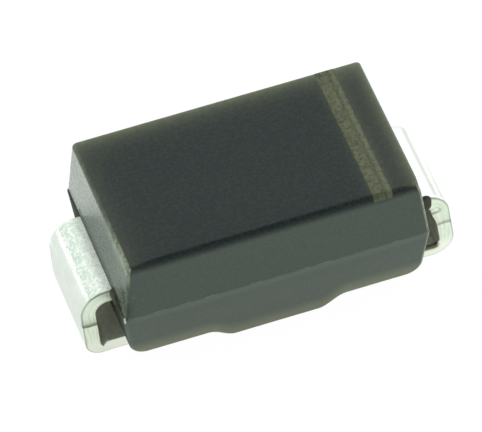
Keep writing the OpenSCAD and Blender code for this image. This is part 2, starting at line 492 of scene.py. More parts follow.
# %% Fill a side wall
def quads(ids):
    """The four-sided faces of a grid of point numbers."""
    return np.stack([ids[:-1, :-1], ids[1:, :-1], ids[1:, 1:], ids[:-1, 1:]], -1).reshape(-1, 4).tolist()


class Wall:
    """Collects the points and faces of the body while its side walls are filled."""

    def __init__(self, points, faces):
        self.points = points
        self.faces = faces

    def add(self, xz, side, in_upper_half):
        """Adds points on the side wall, and gives back their numbers."""
        y = side * half_width_at(xz[..., 1], in_upper_half)
        new = np.stack([xz[..., 0], y, xz[..., 1]], -1).reshape(-1, 3)
        start = len(self.points)
        self.points = np.concatenate([self.points, new])
        return np.arange(start, start + len(new)).reshape(xz.shape[:-1])

    def row(self, start, end, steps, side, in_upper_half):
        """Adds a straight row between two points that are there already."""
        middle = line(self.points[start][[0, 2]], self.points[end][[0, 2]], steps)[1:-1]
        return np.concatenate([[start], self.add(middle, side, in_upper_half), [end]])

    def fill(self, low, high, left_side, right_side, side, in_upper_half):
        """Fills the patch between four rows of point numbers."""
        u = np.linspace(0, 1, len(low))[None, :, None]
        v = np.linspace(0, 1, len(left_side))[:, None, None]
        rows = [self.points[row][:, [0, 2]] for row in (low, high, left_side, right_side)]
        bottom, top, start, end = rows
        sides = (1 - v) * bottom[None] + v * top[None] + (1 - u) * start[:, None] + u * end[:, None]
        corners = (1 - v) * ((1 - u) * bottom[0] + u * bottom[-1]) + v * ((1 - u) * top[0] + u * top[-1])
        ids = np.empty((len(left_side), len(low)), int)
        ids[0], ids[-1] = low, high
        ids[:, 0], ids[:, -1] = left_side, right_side
        ids[1:-1, 1:-1] = self.add((sides - corners)[1:-1, 1:-1], side, in_upper_half)
        self.faces += quads(ids)


print("each side wall has a border of", len(loop), "points")

# %% Side walls and the closed body
counts = {name: len(points) - 1 for name, points in stretches.items()}
top_corner = counts["top"] + counts["top edge"]
upper_foot = top_corner + counts["upper end"]
lower_head = upper_foot + counts["ledge"]
low_corner = lower_head + counts["lower end"] + counts["end arc"] // 2
total = len(loop)

belt_ids = np.arange(belt.shape[0] * belt.shape[1]).reshape(belt.shape[:2])
shell = Wall(belt.reshape(-1, 3), quads(np.concatenate([belt_ids, belt_ids[:1]])))
for side, border in ((-1, belt_ids[:, 0]), (1, belt_ids[:, -1])):
    around = np.concatenate([border, border])
    top_row = around[total - top_corner:total + top_corner + 1]
    low_row = around[low_corner:total - low_corner + 1][::-1]
    steps = len(top_row) - 1
    upper_row = shell.row(border[total - upper_foot], border[upper_foot], steps, side, True)
    lower_row = shell.row(border[total - lower_head], border[lower_head], steps, side, False)
    upper_left = border[total - upper_foot:total - top_corner + 1]
    upper_right = border[top_corner:upper_foot + 1][::-1]
    lower_left = border[total - low_corner:total - lower_head + 1]
    lower_right = border[lower_head:low_corner + 1][::-1]
    shell.fill(upper_row, top_row, upper_left, upper_right, side, True)
    shell.fill(low_row, lower_row, lower_left, lower_right, side, False)
    shell.faces += quads(np.stack([lower_row, upper_row]))

body_mesh = mesh_in_mm("resin_body", shell.points, shell.faces)
close_mesh(body_mesh)

# %% [markdown]
# The two mould halves meet in a crisp line, so the edges along it are marked sharp. Then the skin
# gets a little relief as real geometry: long gentle waves from shrinkage, the fine pits that the
# mould left, crumbled flash at the corner by the anode lead, where the resin leaked, and one top
# corner that is worn round.

# %% Sharp parting line and relief
CRUMBLE_PLACE = np.array((-2.13, -1.1, 1.4))
CRUMBLE_REACH = np.array((0.08, 0.2, 0.22))
CRUMBLE_DEPTH = 0.022
WORN_CORNER = np.array((2.07, -1.18, 2.18))
WORN_REACH = 0.11
WORN_MOVE = np.array((-0.025, 0.02, -0.02))
WAVE_DEPTH = 0.0015
PIT_DEPTH = 0.0009

points = read_points(body_mesh)
normals = read_points(body_mesh, "normal")
at_parting = np.abs(points[:, 2] - parting_height) < MERGE_DISTANCE
sharp = body_mesh.attributes.new("sharp_edge", "BOOLEAN", "EDGE")
edge_ends = np.empty(2 * len(body_mesh.edges), np.int32)
body_mesh.edges.foreach_get("vertices", edge_ends)
along_parting = at_parting[edge_ends.reshape(-1, 2)].all(1)
sharp.data.foreach_set("value", along_parting)

crumbly = np.exp(-(((points - CRUMBLE_PLACE) / CRUMBLE_REACH) ** 2).sum(1))
crumble = CRUMBLE_DEPTH * crumbly * ripple(points, waves=24, seed=5)
wear = np.exp(-(((points - WORN_CORNER) / WORN_REACH) ** 2).sum(1))
relief = WAVE_DEPTH * ripple(points, waves=1.5, seed=1) + PIT_DEPTH * ripple(points, waves=22, seed=2)
relief += crumble
write_points(body_mesh, points + relief[:, None] * normals + wear[:, None] * WORN_MOVE)
print("sharp edges along the parting line:", int(along_parting.sum()))

# %% [markdown]
# Now the numbers that the finish reads. The polished skin of the top reaches over the front edge,
# so on the sides the height tells top from wall, and at the ends the way a point faces does. The
# border of the top fades in from its ends, its back edge and the band, the top is duller towards
# the front, and the walls turn olive just over the underside.

# %% Numbers of the top and the walls
FACING_UP = (0.35, 0.85)
FACING_END = (0.55, 0.85)
WALL_STARTS = 0.05
WALL_FULL = 0.16
RIM_SHARES = {"back": 0.84, "left": 0.23, "right": 0.85, "band": 0.15}
RIM_FADES = {"back": 0.11, "left": 0.15, "right": 0.09, "band": 0.06}
RIGHT_HAZE = 0.03
HAZE_RUN = 0.3
FRONT_MATT = 0.12
FRONT_FADE = 0.2
LOW_FRINGE = (0.04, 0.34)


def paint(mesh, name, values):
    """Stores a number for each point of a mesh."""
    stored = mesh.attributes.new(name, "FLOAT", "POINT")
    stored.data.foreach_set("value", np.asarray(values, np.float32))


x, y, z = points.T
facing_up = smooth_step(normals[:, 2], *FACING_UP)
facing_end = smooth_step(np.abs(normals[:, 0]), *FACING_END)
top_length = stretches["top edge"][-1][0]
top_half_width = half_width_at(body_top, True)
band_middle = (band_low.x + band_high.x) / 2
band_width = band_high.x - band_low.x
from_edges = {
    "back": top_half_width - y, "left": top_length + x, "right": top_length - x,
    "band": np.abs(x - band_middle) - band_width / 2,
}
unhazed = 1 - RIGHT_HAZE * smooth_step(x, band_high.x - HAZE_RUN, band_high.x)
for edge, distance in from_edges.items():
    unhazed *= 1 - RIM_SHARES[edge] * np.exp(-np.maximum(distance, 0) / RIM_FADES[edge])
front_matt = FRONT_MATT * np.exp(-np.maximum(top_half_width + y, 0) / FRONT_FADE)
side_wall = 1 - smooth_step(z, body_top - WALL_FULL, body_top - WALL_STARTS)
underside = pad_height + (RAISED_HEIGHT - pad_height) * smooth_step(
    np.abs(x), (PAD_LENGTH - FLANK_RUN) / 2, (PAD_LENGTH + FLANK_RUN) / 2,
)
paint(body_mesh, "wall", np.maximum(side_wall, facing_end))
paint(body_mesh, "rim", facing_up * (1 - unhazed))
paint(body_mesh, "low", 1 - smooth_step(z - underside, *LOW_FRINGE))
print("points that face up:", int((facing_up > 0.5).sum()), "and to the ends:", int((facing_end > 0.5).sum()))

# %% [markdown]
# The upper end walls were polished by the mould sliding off, but they are duller close over the
# leads. The ledge and the end walls below it are raw, rougher and painted dark as shade, and beside
# the anode lead this painted shade climbs higher. The top edge over that lead and the upright front
# corners are painted pale, partly as wear and partly as a painted highlight, and the front part of
# that end wall is slightly scuffed. Spans are given as (from, to). Heights are over the board, and
# places are measured from the middle towards the front.

# %% Numbers of the ends, and of the edges painted pale by wear and as a highlight
POLISH = -0.16
RAW_AND_SHADED = 0.5
RAW_SHADE_KEPT_AT_CORNER = 0.2
RAW_SHADE_ABOVE_PARTING = 0.03
RAW_SHADE_BESIDE_LEAD = 0.1
LEAD_SIDE = (0.6, 0.75)
FRONT_CORNER = (0.98, 1.12)
DULL_AT_LEAD = 0.28
DULL_HEIGHT = 0.22
ANODE_FACING = -0.3
WORN_LIT_FACING, WORN_LIT_FACING_RANGE = 0.55, 0.25
WORN_LIT_HEIGHTS = (1.7, 1.85)
WORN_LIT_WALL_SHARE, WORN_LIT_WALL_HEIGHTS = 0.75, (1.86, 2.1)
WORN_LIT_LEAST, WORN_LIT_PLACES = 0.2, (0.1, 0.8)
UPRIGHT_TURN = (0.15, 0.42)
UPRIGHT_SHARES, UPRIGHT_HEIGHTS = {"anode": 0.9, "cathode": 0.8}, (1.75, 2.05)
SCUFF, SCUFF_PLACES = 0.16, (0.3, 0.9)
CRUMBLY_MATT = 0.5

anode_half = x < 0
near_corner = smooth_step(-y, *FRONT_CORNER) * anode_half
# Below this height the end wall is raw and painted dark as shade, higher beside the anode lead
raw_shade_top = parting_height + RAW_SHADE_BESIDE_LEAD * smooth_step(-y, *LEAD_SIDE) * anode_half * (1 - near_corner)
upper_end = smooth_step(z, raw_shade_top, raw_shade_top + RAW_SHADE_ABOVE_PARTING)
over_lead = (1 - smooth_step(z, parting_height, parting_height + DULL_HEIGHT)) * (np.abs(y) < LEAD_SIDE[1])
polished = upper_end * (POLISH + DULL_AT_LEAD * over_lead)
raw_and_shaded = (1 - upper_end) * RAW_AND_SHADED * (1 - (1 - RAW_SHADE_KEPT_AT_CORNER) * near_corner)
# The top edge over the anode lead is painted pale: partly wear, partly a painted highlight
anode_edge = np.exp(-((normals[:, 2] - WORN_LIT_FACING) / WORN_LIT_FACING_RANGE) ** 2)
anode_edge = np.maximum(anode_edge, WORN_LIT_WALL_SHARE * smooth_step(z, *WORN_LIT_WALL_HEIGHTS))
anode_edge *= (normals[:, 0] < ANODE_FACING) * smooth_step(z, *WORN_LIT_HEIGHTS)
anode_edge *= WORN_LIT_LEAST + (1 - WORN_LIT_LEAST) * smooth_step(-y, *WORN_LIT_PLACES)
# The upright front corners are painted pale: partly wear, partly a painted highlight
upright_edge = smooth_step(-normals[:, 0] * normals[:, 1] * np.sign(x), *UPRIGHT_TURN) * (y < 0)
upright_edge *= np.where(
    anode_half, UPRIGHT_SHARES["anode"] * smooth_step(z, *UPRIGHT_HEIGHTS), UPRIGHT_SHARES["cathode"],
)
scuffed = SCUFF * facing_end * upper_end * smooth_step(-y, *SCUFF_PLACES) * anode_half
paint(body_mesh, "worn", np.maximum(np.maximum(anode_edge, upright_edge), scuffed))
# The matt number also paints the raw end walls dark, as painted shade
paint(body_mesh, "matt", facing_end * (polished + raw_and_shaded) + CRUMBLY_MATT * crumbly + facing_up * front_matt)
print("points that are rubbed pale:", int((upright_edge + anode_edge > 0.5).sum()))
body = finish_piece("resin_body", body_mesh, resin)
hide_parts("moulded_body")

# %% [markdown]
# ## Geometry Nodes in a script
#
# Geometry Nodes suit what follows a path: the guide is a bare line of points, and a tree of nodes
# turns it into the piece. A tree is built here with named inputs, run on its guide, and its result
# kept as a plain mesh, so that nothing depends on a live modifier afterwards.

# %% Helpers for node trees
def guide_line(name, points, closed=False, **values):
    """A bare line of points in millimetres, with any numbers that its points carry."""
    mesh = bpy.data.meshes.new(name)
    count = len(points)
    edges = [(i, (i + 1) % count) for i in range(count if closed else count - 1)]
    mesh.from_pydata([tuple(map(float, point)) for point in points], edges, [])
    for key, numbers in values.items():
        paint(mesh, key, numbers)
    return add_object(name, mesh)


class Tree:
    """A Geometry Nodes tree under construction."""

    def __init__(self, name, **inputs):
        self.tree = bpy.data.node_groups.new(name, "GeometryNodeTree")
        self.tree.is_modifier = True
        self.tree.interface.new_socket(name="Guide", in_out="INPUT", socket_type="NodeSocketGeometry")
        self.sockets = {}
        for key, kind in inputs.items():
            made = self.tree.interface.new_socket(name=key, in_out="INPUT", socket_type="NodeSocket" + kind)
            self.sockets[key] = made.identifier
        self.tree.interface.new_socket(name="Piece", in_out="OUTPUT", socket_type="NodeSocketGeometry")
        self.given = self.tree.nodes.new("NodeGroupInput").outputs
        self.result = self.tree.nodes.new("NodeGroupOutput").inputs[0]

    def node(self, kind, links=None, **settings):
        """Adds a node, with its settings and what is linked to or set on its inputs."""
        made = self.tree.nodes.new(kind)
        for key, value in settings.items():
            setattr(made, key, value)
        for key, value in (links or {}).items():
            socket = made.inputs[key] if isinstance(key, int) else in_use(made.inputs, key)
            if isinstance(value, bpy.types.NodeSocket):
                self.tree.links.new(value, socket)
            else:
                socket.default_value = value
        return made

    def end(self, geometry):
        """Realizes what is instanced, sets the material and closes the tree."""
        real = self.node("GeometryNodeRealizeInstances", {"Geometry": geometry})
        coated = self.node("GeometryNodeSetMaterial",
                           {"Geometry": real.outputs[0], "Material": self.given["Material"]})
        self.tree.links.new(coated.outputs[0], self.result)

    def run(self, guide, name, **values):
        """Runs the tree on a guide and gives back a plain mesh."""
        modifier = guide.modifiers.new(self.tree.name, "NODES")
        modifier.node_group = self.tree
        for key, value in values.items():
            modifier[self.sockets[key]] = value
        evaluated = guide.evaluated_get(bpy.context.evaluated_depsgraph_get())
        mesh = bpy.data.meshes.new_from_object(evaluated)
        mesh.name = name
        bpy.data.objects.remove(guide)
        return mesh


print("a tree offers:", [name for name in vars(Tree) if not name.startswith("_")])

# %% [markdown]
# ## Flash along the parting line
#
# Where the mould halves meet, a hair of resin squeezes out and is left as a pale, uneven thread.
# It follows the body's outline, so it is a swept circle whose size comes from noise along the
# way. The noise has a fourth coordinate, which serves as the seed.

# %% Finish and path of the flash
FLASH_SUNK = 0.003


def make_flash(name, dark, pale):
    finish = Finish(name)
    grain = finish.noise(40.0, 2.0)
    colour = finish.blend(finish.span(grain, 0.35, 0.65), dark, pale)
    finish.link(colour, finish.shader.inputs["Base Color"])
    finish.link(finish.span(grain, 0.3, 0.7, 0.45, 0.65), finish.shader.inputs["Roughness"])
    finish.shader.inputs["IOR"].default_value = 1.45
    finish.bump(grain, 0.002)
    return finish.material


def parting_outline(side):
    """The body's outline at the parting line along one side, with the corners at its ends."""
    radius = EDGE_RADII["ledge"][0]
    corners = []
    for end in (-1, 1):
        centre = (end * (half_length - radius), side * (half_width - radius))
        corners.append(arc(centre, radius - FLASH_SUNK, (1 - end) * math.pi / 2, side * math.pi / 2, 8))
    flat = np.concatenate([corners[0], corners[1][::-1]])
    return np.column_stack([flat, np.full(len(flat), parting_height)])


flash = make_flash("resin_flash", linear(128, 136, 126), linear(178, 186, 170))
print("finish:", flash.name, "on a path of", len(parting_outline(1)), "points along each side")

# %% The flash thread
FLASH_STEP = 0.012
FLASH_LEAST = 0.001
FLASH_MOST = 0.0065

flash_tree = Tree(
    "flash_thread", Step="Float", Least="Float", Most="Float", Seed="Float", Material="Material",
)
given = flash_tree.given
path = flash_tree.node("GeometryNodeMeshToCurve", {"Mesh": given["Guide"]})
even = flash_tree.node("GeometryNodeResampleCurve", {
    "Curve": path.outputs[0], "Length": given["Step"],
}, mode="LENGTH")
uneven = flash_tree.node("ShaderNodeTexNoise", {
    "W": given["Seed"], "Scale": 5.0, "Detail": 3.0,
}, noise_dimensions="4D")
size = flash_tree.node("ShaderNodeMapRange", {
    "Value": uneven.outputs["Fac"], "From Min": 0.42, "From Max": 0.68,
    "To Min": given["Least"], "To Max": given["Most"],
})
ring = flash_tree.node("GeometryNodeCurvePrimitiveCircle", {"Resolution": 6, "Radius": 1.0})
thread = flash_tree.node("GeometryNodeCurveToMesh", {
    "Curve": even.outputs[0], "Profile Curve": ring.outputs[0], "Scale": size.outputs["Result"],
    "Fill Caps": True,
})
flash_tree.end(thread.outputs[0])
for name, side in (("front", -1), ("back", 1)):
    flash_mesh = flash_tree.run(
        guide_line("parting_guide", parting_outline(side)), name + "_flash",
        Step=FLASH_STEP, Least=FLASH_LEAST, Most=FLASH_MOST, Seed=3.0, Material=flash,
    )
    close_mesh(flash_mesh)
    finish_piece(name + "_flash", flash_mesh)

# %% [markdown]
# At the front corner beside the anode lead the flash has broken into crumbs that still cling to
# the resin. They are copies of one flattened ball, scattered over the corner by nodes, each pushed
# aside and scaled by a random amount, so that no two look the same.

# %% Crumbs of flash
CRUMB_COUNT = 130
CRUMB_LEAST = 0.003
CRUMB_MOST = 0.011
CRUMB_FORM = (0.5, 1.3, 0.9)
CRUMB_SPREAD = (0.006, 0.05, 0.06)
CORNER_INSET = 0.03

crumb_tree = Tree(
    "flash_crumbs", Count="Int", Least="Float", Most="Float", Spread="Vector", Seed="Int",
    Material="Material",
)
given = crumb_tree.given
path = crumb_tree.node("GeometryNodeMeshToCurve", {"Mesh": given["Guide"]})
places = crumb_tree.node("GeometryNodeCurveToPoints", {"Curve": path.outputs[0], "Count": given["Count"]})
least_shift = crumb_tree.node("ShaderNodeVectorMath", {0: given["Spread"], "Scale": -1.0}, operation="SCALE")
shift = crumb_tree.node("FunctionNodeRandomValue", {
    "Min": least_shift.outputs[0], "Max": given["Spread"], "Seed": given["Seed"],
}, data_type="FLOAT_VECTOR")
pushed = crumb_tree.node("GeometryNodeSetPosition", {
    "Geometry": places.outputs["Points"], "Offset": shift.outputs[0],
})
ball = crumb_tree.node("GeometryNodeMeshIcoSphere", {"Radius": 1.0, "Subdivisions": 2})
chip = crumb_tree.node("GeometryNodeTransform", {"Geometry": ball.outputs[0], "Scale": CRUMB_FORM})
girth = crumb_tree.node("FunctionNodeRandomValue", {
    "Min": given["Least"], "Max": given["Most"], "Seed": given["Seed"],
}, data_type="FLOAT")
crumbs = crumb_tree.node("GeometryNodeInstanceOnPoints", {
    "Points": pushed.outputs[0], "Instance": chip.outputs[0], "Scale": in_use(girth.outputs, "Value"),
})
crumb_tree.end(crumbs.outputs[0])
corner_x = -half_length + CORNER_INSET
crumb_guide = [
    (corner_x + 0.023, -half_width + 0.08, parting_height + 0.4),
    (corner_x + 0.017, -half_width + 0.22, parting_height + 0.33),
    (corner_x + 0.012, -half_width + 0.08, parting_height + 0.26),
    (corner_x + 0.007, -half_width + 0.22, parting_height + 0.19),
    (corner_x + 0.002, -half_width + 0.08, parting_height + 0.12),
]
crumb = make_flash("resin_crumb", linear(84, 94, 86), linear(138, 146, 134))
crumb_mesh = crumb_tree.run(
    guide_line("crumb_guide", crumb_guide), "flash_crumbs",
    Count=CRUMB_COUNT, Least=CRUMB_LEAST, Most=CRUMB_MOST, Spread=CRUMB_SPREAD, Seed=2, Material=crumb,
)
close_mesh(crumb_mesh)
finish_piece("flash_crumbs", crumb_mesh)

# %% [markdown]
# ## Tin plate
#
# The leads are copper alloy with matt tin on it. Tin grows in grains, so a flat stretch of it
# sparkles faintly, while a bend is burnished by the tool that formed it. The cut edges show
# layers: a rolled-in lip and a smooth zone near the punch, torn metal below. The inside of the
# fold is dull. The strip carries numbers from its making, such as along, across and through, and
# the finish reads them as attributes.

# %% The tin's finish
def make_tin(strip_width, strip_thickness):
    finish = Finish("matt_tin_plate")
    along, across, through = (finish.attribute(name) for name in ("along", "across", "through"))
    half = strip_thickness / 2
    # Grains show on the flat of the shoulder and fade into the bend; towards the root they are painted paler,
    # as painted light against the shade of the body's wall
    grain = finish.noise(24.0, 1.0)
    shade = finish.span(grain, 0.38, 0.62)
    flat = finish.span(finish.along("Z"), lead_top - 0.14, lead_top - 0.08)
    cloud = finish.noise(4.0, 3.0)
    fine = finish.noise(45.0, 2.0)
    green = finish.blend(finish.span(cloud, 0.3, 0.7), linear(240, 243, 238), linear(248, 249, 245))
    plain = finish.blend(finish.attribute("grainy"), linear(248, 244, 247), green)
    grainy = finish.math("MULTIPLY", finish.attribute("grainy"), flat)
    speckled = finish.blend(shade, linear(231, 235, 231), linear(202, 212, 203))
    to_root = finish.span(finish.math("ABSOLUTE", finish.along("X")), half_length + 0.25, half_length)
    # Painted light: paler grains near the root
    root_painted_light = finish.blend(shade, linear(255, 255, 253), linear(230, 240, 228))
    root_lightened = finish.blend(to_root, speckled, root_painted_light)
    grained = finish.blend(grainy, plain, root_lightened)
    # The cut edges are greener, with layers that run along the strip, and near the foot they are painted
    # paler as painted light, to brighten their dim reflection
    at_edge = finish.span(finish.math("ABSOLUTE", across), strip_width / 2 - 0.02, strip_width / 2 - 0.004)
    layer_place = finish.node("ShaderNodeCombineXYZ")
    finish.link(finish.math("MULTIPLY", along, 3.0), layer_place.inputs[0])
    finish.link(finish.math("MULTIPLY", through, 34.0), layer_place.inputs[1])
    layers = finish.noise(1.0, 3.0, place=layer_place.outputs[0])
    torn = finish.blend(finish.span(layers, 0.32, 0.62), linear(206, 216, 199), linear(226, 232, 218))
    # Painted light: the cut edge is paler near the foot
    cut_painted_light = finish.blend(finish.span(finish.along("Z"), 0.4, 0.15), torn, linear(238, 238, 228))
    edged = finish.blend(at_edge, grained, cut_painted_light)
    # The lip that the punch rolled in is painted dark as shade, and the inside of the strip is dull and
    # patchy
    # Painted shade along the rolled lip
    lip_shade = finish.math("MULTIPLY", at_edge, finish.span(through, 0.035 - half, 0.012 - half))
    lip_shaded = finish.blend(finish.math("MULTIPLY", lip_shade, 0.6), edged, linear(128, 134, 118))
    inside = finish.span(through, half - 0.02, half - 0.006)
    dull = finish.blend(finish.attribute("grainy"), linear(252, 250, 240), linear(250, 252, 238))
    patches = finish.span(finish.noise(14.0, 3.0), 0.42, 0.58, 0.0, 0.25)
    inner = finish.blend(inside, lip_shaded, finish.blend(patches, dull, linear(202, 205, 186)))
    # Stains, and the painted shade that the strip carries with them, turn the colour brown
    colour = finish.blend(finish.attribute("stain"), inner, linear(92, 84, 69))
    finish.link(colour, finish.shader.inputs["Base Color"])
    # Inside and on the grains the plate is so matt that it scatters light like paint
    matt = finish.math("MAXIMUM", inside, finish.math("MULTIPLY", grainy, to_root))
    finish.link(finish.span(matt, 0.0, 1.0, 1.0, 0.4), finish.shader.inputs["Metallic"])
    # The bending tool burnished the leg
    burnish = finish.span(finish.along("Z"), lead_top - 0.09, lead_top - 0.03, -0.16, 0.0)
    gloss = finish.math("ADD", finish.span(fine, 0.2, 0.8, 0.3, 0.42), burnish)
    rougher = finish.math("MULTIPLY", finish.math("MAXIMUM", at_edge, inside), 0.18)
    finish.link(finish.math("ADD", gloss, rougher), finish.shader.inputs["Roughness"])
    relief = finish.math("ADD", finish.math("MULTIPLY", grain, grainy), fine)
    finish.bump(relief, 0.0016)
    return finish.material


cathode_low, cathode_high = box_mm("cathode_lead")
contact_base = box_mm("cathode_solder")[1].z
lead_thickness = cathode_high.z - contact_base
lead_width = 2 * cathode_high.y
tin = make_tin(lead_width, lead_thickness)
print("finish:", tin.name, f"on a strip {lead_width:.2f} mm wide and {lead_thickness:.2f} mm thick")

# %% [markdown]
# ## The formed leads
#
# Each lead is one strip: a pad beside the chip, a joggle up or down to the parting line, a bend
# over the shoulder, a leaning leg and a foot folded under. A strip is drawn as the corner points
# of its middle line, Fillet Curve forms the bends, and Curve to Mesh carries its section along.
# The section is rounded on the side where the punch entered and sharper on the other.

# %% The tree that forms a strip
ROLL_RADIUS, ROLL_STEPS = 0.026, 5
BURR_RADIUS, BURR_STEPS = 0.01, 3
FACE_STEPS, EDGE_STEPS = 30, 9
BEND_STEPS = 24


def strip_section(width, thickness):
    """The strip's section, across and through, with the punch's side first."""
    x, y = width / 2, thickness / 2
    quarter = math.pi / 2
    stretches_of_section = (
        line((-x + ROLL_RADIUS, -y), (x - ROLL_RADIUS, -y), FACE_STEPS),
        arc((x - ROLL_RADIUS, -y + ROLL_RADIUS), ROLL_RADIUS, -quarter, 0, ROLL_STEPS),
        line((x, -y + ROLL_RADIUS), (x, y - BURR_RADIUS), EDGE_STEPS),
        arc((x - BURR_RADIUS, y - BURR_RADIUS), BURR_RADIUS, 0, quarter, BURR_STEPS),
        line((x - BURR_RADIUS, y), (-x + BURR_RADIUS, y), FACE_STEPS),
        arc((-x + BURR_RADIUS, y - BURR_RADIUS), BURR_RADIUS, quarter, 2 * quarter, BURR_STEPS),
        line((-x, y - BURR_RADIUS), (-x, -y + ROLL_RADIUS), EDGE_STEPS),
        arc((-x + ROLL_RADIUS, -y + ROLL_RADIUS), ROLL_RADIUS, 2 * quarter, 3 * quarter, ROLL_STEPS),
    )
    return np.concatenate([stretch[:-1] for stretch in stretches_of_section])


lead_tree = Tree("formed_strip", Section="Object", Step="Float", Material="Material")
given = lead_tree.given
path = lead_tree.node("GeometryNodeMeshToCurve", {"Mesh": given["Guide"]})
bend = lead_tree.node("GeometryNodeInputNamedAttribute", {"Name": "bend"}, data_type="FLOAT")
formed = lead_tree.node("GeometryNodeFilletCurve", {
    "Curve": path.outputs[0], "Count": BEND_STEPS, "Radius": bend.outputs["Attribute"],
}, mode="POLY")
even = lead_tree.node("GeometryNodeResampleCurve", {
    "Curve": formed.outputs[0], "Length": given["Step"],
}, mode="LENGTH")
place = lead_tree.node("GeometryNodeSplineParameter")
marked = lead_tree.node("GeometryNodeStoreNamedAttribute", {
    "Geometry": even.outputs[0], "Name": "along", "Value": place.outputs["Length"],
}, data_type="FLOAT")
section_line = lead_tree.node("GeometryNodeObjectInfo", {"Object": given["Section"]})
section = lead_tree.node("GeometryNodeMeshToCurve", {"Mesh": section_line.outputs["Geometry"]})
strip = lead_tree.node("GeometryNodeCurveToMesh", {
    "Curve": marked.outputs[0], "Profile Curve": section.outputs[0], "Fill Caps": True,
})
lead_tree.end(strip.outputs[0])
section_points = strip_section(lead_width, lead_thickness)
section_guide = guide_line(
    "section_guide", np.column_stack([section_points, np.zeros(len(section_points))]), closed=True,
    across=section_points[:, 0], through=section_points[:, 1],
)
print("section of", len(section_points), "points")

# %% [markdown]
# The corners of the middle line come from the bends: each bend touches the two straight stretches
# beside it, so the leg is the common tangent of the shoulder bend and the heel. The anode lead is
# formed along +X like the other and mirrored at the end. Its fold was scored first, so it is
# sharp and has a notch inside. The cathode lead's fold is round, and beside its nick the press
# left a round dent.

# %% Middle line of a lead
SHOULDER_RADIUS = 0.19
FOOT_LENGTH = 1.15
JOGGLE_GAP = 0.2
JOGGLE_BEND = 0.1
chip_half = box_mm("thyristor_chip")[1].x


def lead_corners(reach, lean, heel_radius, pad_end, pad_middle):
    """Corner points of a lead's middle line, their bend radii, and the middles of its two bends."""
    half = lead_thickness / 2
    shoulder_outside = SHOULDER_RADIUS + lead_thickness
    heel_outside = heel_radius + lead_thickness
    drop = lead_top - shoulder_outside - heel_outside
    offset = (heel_outside - shoulder_outside + drop * math.sin(lean)) / math.cos(lean)
    shoulder_x = reach - shoulder_outside if lean >= 0 else reach - heel_outside + offset
    shoulder = np.array([shoulder_x, lead_top - shoulder_outside])
    heel = np.array([shoulder_x - offset, heel_outside])
    shoulder_bend = SHOULDER_RADIUS + half
    strip_middle = lead_top - half
    joggle_x = chip_half + JOGGLE_GAP
    over_x = shoulder_x + shoulder_bend * (1 + math.sin(lean)) / math.cos(lean)
    under_x = shoulder_x + (shoulder_bend + (half - shoulder[1]) * math.sin(lean)) / math.cos(lean)
    corners = [
        (pad_end, 0, pad_middle),
        (joggle_x, 0, pad_middle),
        (joggle_x + abs(pad_middle - strip_middle), 0, strip_middle),
        (over_x, 0, strip_middle),
        (under_x, 0, half),
        (reach - FOOT_LENGTH, 0, half),
    ]
    return corners, [0, JOGGLE_BEND, JOGGLE_BEND, shoulder_bend, heel_radius + half, 0], shoulder, heel


anode_low, anode_high = box_mm("anode_lead")
pad_top = box_mm("anode_solder")[0].z
leads = {
    "anode": dict(
        way=-1, reach=-anode_low.x, lean=math.radians(3), heel_radius=0.03,
        pad_end=-anode_high.x, pad_middle=pad_top - lead_thickness / 2, pad_width=2 * anode_high.y,
        nick_height=0.64, score_depth=0.078, dent_depth=0.0, burr=0.0, grainy=1.0, smear=0.6,
        pool=0.0, rub=0.0,
    ),
    "cathode": dict(
        way=1, reach=cathode_high.x, lean=math.radians(-6), heel_radius=0.1,
        pad_end=cathode_low.x, pad_middle=contact_base + lead_thickness / 2, pad_width=-2 * cathode_low.x,
        nick_height=0.63, score_depth=0.0, dent_depth=0.02, burr=0.045, grainy=0.15, smear=0.22,
        pool=1.0, rub=0.36,
    ),
}
for name, lead in leads.items():
    print(name, "lead reaches out to", round(lead["reach"], 3), "mm")

# %% [markdown]
# The sweep gives a perfect strip. The real one is marked by its making: a nick across the cut
# edges where the leads were parted from their frame, the metal below it standing slightly proud,
# the score, the dent and the burr behind it. These are small moves of the mesh's own points.
# Stains and painted shade go with them: painted shade that fades upwards from the nick, and on the
# cathode lead dirt round the dent, a darker patch in the fold, and a grey line across the bend and
# a grey back edge, which are painted shade. Each is a number that the finish reads.

# %% Marks of the leads
NICK_DEPTH = 0.015
NICK_HALF = 0.025
PROUD = 0.007
SCORE_HALF = 0.055
SCORE_SHIFT = 0.008
DENT_HEIGHT = 0.91
DENT_RADIUS = 0.055
RING_WIDTH, RING_OVER_DENT = 0.3, 0.02
BURR_DROP, BURR_HALF = 0.04, 0.16
NICK_SHADE_HEIGHT = 0.08
POOL_RUN, POOL_HEIGHT = 0.06, 0.03
POOL_PAST_HEEL, POOL_UNDER_BODY = (0.05, 0.12), 0.2
GREY_SHADE_PLACE = 2.495
GREY_SHADE_WIDTH = 0.065
GREY_SHADE_SHARE = 0.9
GREY_SHADE_DROP = 0.3
BACK_EDGE_SHADE_SHARE = 0.6


